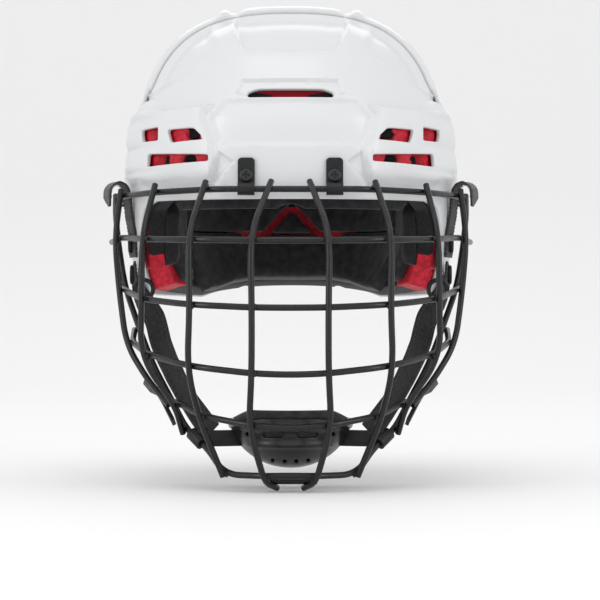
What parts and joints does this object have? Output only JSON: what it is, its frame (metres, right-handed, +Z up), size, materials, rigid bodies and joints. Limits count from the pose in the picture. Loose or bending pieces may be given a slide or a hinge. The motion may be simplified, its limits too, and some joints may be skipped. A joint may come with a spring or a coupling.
{
  "type": "ice hockey helmet with wire face cage",
  "caption": "Hard-shell ice hockey helmet with a hinged full wire face cage, chin cup, straps, foam liner and size adjustment.",
  "frame": {"origin": "middle of the head cavity at the height of the brow edge", "axes": "+Z up through the crown, +X to the wearer's left, +Y to the back of the head; the face looks along -Y"},
  "size_m": [0.2438, 0.3263, 0.3069],
  "materials": {
    "shell": "satin",
    "impact_foam": "matte",
    "comfort_foam": "matte",
    "cage_wire": "satin",
    "black_plastic": "satin",
    "webbing": "matte",
    "steel": "satin"
  },
  "bodies": {
    "front_shell_body": {"brow_pad": "comfort_foam", "clip_screws": "steel", "crown_front_pad": "comfort_foam", "front_liner": "impact_foam", "front_shell": "shell", "hinge_clip_left": "black_plastic", "hinge_clip_right": "black_plastic", "side_pad_left": "comfort_foam", "side_pad_right": "comfort_foam", "snap_studs": "steel", "tee_nuts": "steel", "temple_pad_left": "comfort_foam", "temple_pad_right": "comfort_foam"},
    "rear_shell_body": {"centre_pad": "comfort_foam", "crown_rear_pad": "comfort_foam", "lever_pins": "steel", "lever_seat_left": "black_plastic", "lever_seat_right": "black_plastic", "nape_pad": "comfort_foam", "rear_liner": "impact_foam", "rear_shell": "shell", "rear_side_pad_left": "comfort_foam", "rear_side_pad_right": "comfort_foam", "rear_upper_pad_left": "comfort_foam", "rear_upper_pad_right": "comfort_foam"},
    "cage_body": {"brow_bar": "cage_wire", "chin_cup": "black_plastic", "chin_cup_pad": "comfort_foam", "chin_strap_left": "webbing", "chin_strap_right": "webbing", "chin_tie": "cage_wire", "cup_arm_left": "black_plastic", "cup_arm_right": "black_plastic", "eye_bar": "cage_wire", "frame_wire": "cage_wire", "inner_upright_left": "cage_wire", "inner_upright_right": "cage_wire", "jaw_bar": "cage_wire", "mouth_bar": "cage_wire", "nose_bar": "cage_wire", "outer_upright_left": "cage_wire", "outer_upright_right": "cage_wire", "second_upright_left": "cage_wire", "second_upright_right": "cage_wire", "side_strap_left": "webbing", "side_strap_right": "webbing", "snap_caps": "black_plastic", "strap_rings": "black_plastic", "third_upright_left": "cage_wire", "third_upright_right": "cage_wire", "wire_keeper_left": "black_plastic", "wire_keeper_right": "black_plastic"},
    "lever_left_body": {"size_lever_left": "black_plastic"},
    "lever_right_body": {"size_lever_right": "black_plastic"}
  },
  "joints": [
    {"name": "cage_flip", "type": "hinge", "parent": "front_shell_body", "child": "cage_body", "pos_m": [0, -0.125, 0.0058], "axis": [-1, 0, 0], "range_deg": [0, 120]},
    {"name": "size_slide", "type": "slide", "parent": "front_shell_body", "child": "rear_shell_body", "axis": [0, 0.9903, 0.1392], "range_m": [0, 0.012]},
    {"name": "lever_left_flip", "type": "hinge", "parent": "rear_shell_body", "child": "lever_left_body", "pos_m": [0.1118, 0.034, 0.008], "axis": [0, 0, -1], "range_deg": [0, 80]},
    {"name": "lever_right_flip", "type": "hinge", "parent": "rear_shell_body", "child": "lever_right_body", "pos_m": [-0.1118, 0.034, 0.008], "axis": [0, 0, 1], "range_deg": [0, 80]}
  ]
}
